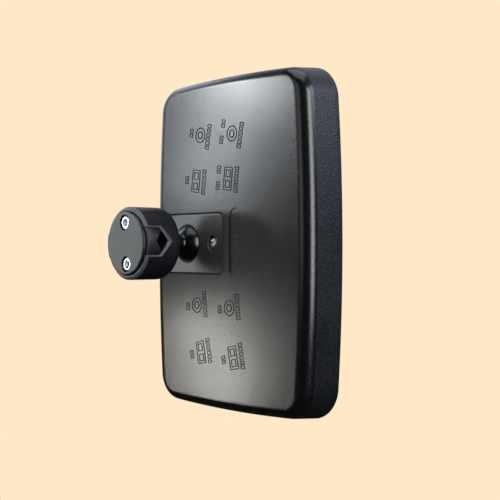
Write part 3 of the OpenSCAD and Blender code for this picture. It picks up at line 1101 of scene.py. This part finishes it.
head_seat = cap_high.y - HEAD_SINK - HEAD_H
cap = revolve("cap", (
    [(0, CAP_SEAT_Y + 0.1), (CAP_R - 0.3, CAP_SEAT_Y + 0.1), (CAP_R, CAP_SEAT_Y + 0.4)]
    + arc(CAP_R - CAP_EDGE_R, cap_high.y - CAP_EDGE_R, CAP_EDGE_R, 0, 90, 8)
    + [(CAP_R - CAP_EDGE_R - 0.5, cap_high.y), (0, cap_high.y)]
), steps=144)
cap_bosses = [rod(CAP_BOSS_R, CAP_BOSS_Y, CAP_SEAT_Y + 1, 0, z) for z in (-screw_z, screw_z)]
carve(cap, "UNION", [jaw_tab()] + cap_bosses)
for z in (-screw_z, screw_z):
    carve(cap, "DIFFERENCE", [
        rod(COUNTERBORE_R, head_seat - WASHER_T, cap_high.y + 1, 0, z),
        revolve("broken_edge", [(COUNTERBORE_R - 0.1, cap_high.y - 0.35),
                                (COUNTERBORE_R + 0.75, cap_high.y + 0.5)], 0, z),
        rod(M6_R + SCREW_CLEARANCE, 0, cap_high.y + 1, 0, z),
    ])
finish_piece(cap, "clamp_cap_moulding", "cap", (cap_nylon, drum_nylon),
             ("clamp_cap",), clamp_turn, 30)
for face in cap.data.polygons:
    if face.center.y < (cap_high.y - CAP_EDGE_R) * MM or face.normal.y < CAP_FLAT:
        face.material_index = 1


def cap_screw(z, name, body, node):
    """Socket-head screw: threaded shank, chamfered and knurled head, hexagon socket."""
    top = head_seat + HEAD_H
    tip = head_seat - SCREW_L
    made = revolve("cap_screw", [
        (0, tip), (M6_R - THREAD_CHAMFER, tip), (M6_R, tip + THREAD_CHAMFER), (M6_R, head_seat),
        (HEAD_R - 0.25, head_seat), (HEAD_R - 0.1, head_seat + 0.2), (HEAD_R - 0.1, top - 0.6),
        (HEAD_R - 0.6, top), (0, top),
    ], steps=72)
    carve(made, "DIFFERENCE", [
        hexagon(CAP_SOCKET, top - 3, top + 1),
        revolve("lead", [(2.2, top - 0.7), (3.4, top + 0.5)]),
    ])
    grow(made, knurl, knurl_names, {
        "Ridges": RIDGE_COUNT, "Head Radius": HEAD_R - RIDGE_R, "Ridge Radius": RIDGE_R,
        "Ridge Length": HEAD_H - 2 * RIDGE_MARGIN, "Ridge Middle": (0.0, head_seat + HEAD_H / 2, 0.0),
        "Material": zinc,
    })
    finish_piece(made, name, body, (), (node,),
                 clamp_turn @ Matrix.Translation((0, 0, z)), 30)


cap_screw(screw_z, "cap_screw_upper", "screw_upper", "clamp_screw_upper")
cap_screw(-screw_z, "cap_screw_lower", "screw_lower", "clamp_screw_lower")


# ---- CAD nodes that stay as they are, with their finishes ----

for node, material in {
    "glass_seal": rubber, "foam_pad": foam, "backing_plate": inner_plastic,
    "socket_bracket": inner_plastic, "bearing_cup": acetal, "backing_screws": zinc,
    "plate_nut": zinc, "bracket_screws": zinc, "clamp_nuts": zinc, "stud_nut": zinc,
    "stud_washer": zinc, "clamp_washers": zinc,
}.items():
    kept = frame["nodes"][node]
    kept.data.materials.clear()
    kept.data.materials.append(material)


# ---- Studio: floor, backdrop colour, lights and camera ----

PAPER = "#ffe8c8"
FLOOR_Z = -0.7
FLOOR_HALF = 8


def studio_floor():
    """Plain pale floor in the colour of the backdrop, so that no horizon shows."""
    material, tree = start_material("studio_paper")[:2]
    path = add(tree, "ShaderNodeLightPath")
    seen = add(tree, "ShaderNodeEmission", {"Color": colour(PAPER)})
    lit = add(tree, "ShaderNodeBsdfDiffuse", {"Color": colour("#35322e")})
    both = add(tree, "ShaderNodeMixShader", {
        0: path.outputs["Is Camera Ray"], 1: lit.outputs[0], 2: seen.outputs[0],
    })
    add(tree, "ShaderNodeOutputMaterial", {"Surface": both.outputs[0]})
    mesh = bpy.data.meshes.new("studio_floor")
    corners = [(x * FLOOR_HALF, y * FLOOR_HALF, FLOOR_Z) for x, y in ((-1, -1), (1, -1), (1, 1), (-1, 1))]
    mesh.from_pydata(corners, [], [(0, 1, 2, 3)])
    mesh.materials.append(material)
    link("studio_floor", mesh)


def studio_world():
    """Backdrop colour to the eye, and a dim room for the reflections, paler above and towards -Y."""
    world = bpy.data.worlds.new("studio")
    world.use_nodes = True
    tree = world.node_tree
    tree.nodes.clear()
    parts = add(tree, "ShaderNodeSeparateXYZ", {
        0: add(tree, "ShaderNodeTexCoord").outputs["Generated"],
    })
    high = add(tree, "ShaderNodeMapRange", {
        "Value": parts.outputs["Z"], "From Min": -0.25, "From Max": 0.6, "To Min": 0.0, "To Max": 1.0,
    }, interpolation_type="SMOOTHSTEP")
    front = add(tree, "ShaderNodeMapRange", {
        "Value": parts.outputs["Y"], "From Min": 0.1, "From Max": -0.9, "To Min": 0.0, "To Max": 1.0,
    }, interpolation_type="SMOOTHSTEP")
    level = add(tree, "ShaderNodeMath", {
        0: high.outputs[0], 1: front.outputs[0], 2: 0.02,
    }, operation="MULTIPLY_ADD")
    room = add(tree, "ShaderNodeBackground", {
        "Color": colour("#dfe6f2"), "Strength": level.outputs[0],
    })
    paper = add(tree, "ShaderNodeBackground", {"Color": colour(PAPER), "Strength": 1.0})
    both = add(tree, "ShaderNodeMixShader", {
        0: add(tree, "ShaderNodeLightPath").outputs["Is Camera Ray"],
        1: room.outputs[0], 2: paper.outputs[0],
    })
    add(tree, "ShaderNodeOutputWorld", {"Surface": both.outputs[0]})
    bpy.context.scene.world = world


def softbox(name, at, facing, width, height, radiance, tint, roll=0.0):
    """A soft panel of light of an even brightness, turned in its own plane by roll degrees."""
    light = bpy.data.lights.new(name, "AREA")
    light.shape = "RECTANGLE"
    light.size = width
    light.size_y = height
    light.energy = radiance * math.pi * width * height
    light.color = colour(tint)[:3]
    panel = bpy.data.objects.new(name, light)
    panel.location = at
    turn = Quaternion((0, 0, 1), math.radians(-roll))
    panel.rotation_euler = (Vector(facing).to_track_quat("-Z", "Y") @ turn).to_euler()
    panel.visible_camera = False
    bpy.context.scene.collection.objects.link(panel)
    return panel


studio_floor()
studio_world()

# Key panels face the back of the head from KEY_Y: x, z, width, height, radiance, tint, roll.
KEY_Y = 0.47
KEYS = (
    ("key_high", 0.618, 0.375, 0.072, 0.391, 32, "#fbfdff", -36),
    ("key_middle", 0.582, 0.180, 0.075, 0.27, 21, "#f4faff", 24),
    ("key_centre", 0.62, -0.02, 0.06, 0.20, 16, "#f4faff", 0),
    ("key_low", 0.600, -0.172, 0.036, 0.165, 58, "#fffdf6", -22),
)
BACK_PIECES = ("rear_housing_shell", "moulded_marks", "badge_cells")
softbox("edge_strip", (-0.74, 0.11, 0.17), (1.0, -0.2, -0.1), 0.30, 0.60, 9.0, "#f1f3f8")
softbox("wall_panel", (-0.74, -0.26, 0.42), (1.0, 0.25, -0.35), 0.40, 0.36, 5.5, "#dce7fb")
softbox("side_fill", (0.85, -0.05, 0.40), (-0.85, 0.05, -0.25), 0.7, 0.8, 2.2, "#d6e4f8")
softbox("back_fill", (0.5, 2.2, 0.5), (-0.25, -1.0, -0.25), 1.2, 1.2, 1.3, "#e6ecf6")
softbox("overhead", (-0.05, 0.08, 0.85), (0.05, -0.08, -0.85), 0.8, 0.8, 2.3, "#dfe8fa")

# The clamp hangs close to the back of the head. Each key lights the back as if the clamp
# weren't there, so that its reflection doesn't cut a hole in the gloss, and lights the rest as
# usual. The centre key lights only the rest.
back = bpy.data.collections.new("back_of_head")
rest = bpy.data.collections.new("rest_of_object")
for made in bpy.context.scene.objects:
    if made.type == "MESH":
        (back if made.name in BACK_PIECES else rest).objects.link(made)
for name, x, z, width, height, radiance, tint, roll in KEYS:
    for group in (rest,) if name == "key_centre" else (rest, back):
        key = softbox(f"{name}_{group.name}", (x, KEY_Y, z), (0.0, -1.0, 0.0), width, height,
                      radiance, tint, roll)
        key.light_linking.receiver_collection = group
        if group is back:
            key.light_linking.blocker_collection = back

# The camera looks level. Its heading is measured from -Y towards +X.
CAMERA_AT = (-0.6476, 0.4512, -0.00485)
CAMERA_HEADING = math.radians(49.285)
camera = bpy.data.cameras.new("camera")
camera.lens = 75.94
camera.sensor_width = 36
view = bpy.data.objects.new("camera", camera)
view.location = CAMERA_AT
look = Vector((math.sin(CAMERA_HEADING), -math.cos(CAMERA_HEADING), 0))
view.rotation_euler = look.to_track_quat("-Z", "Y").to_euler()
bpy.context.scene.collection.objects.link(view)
bpy.context.scene.camera = view
bpy.context.scene.view_settings.view_transform = "Standard"
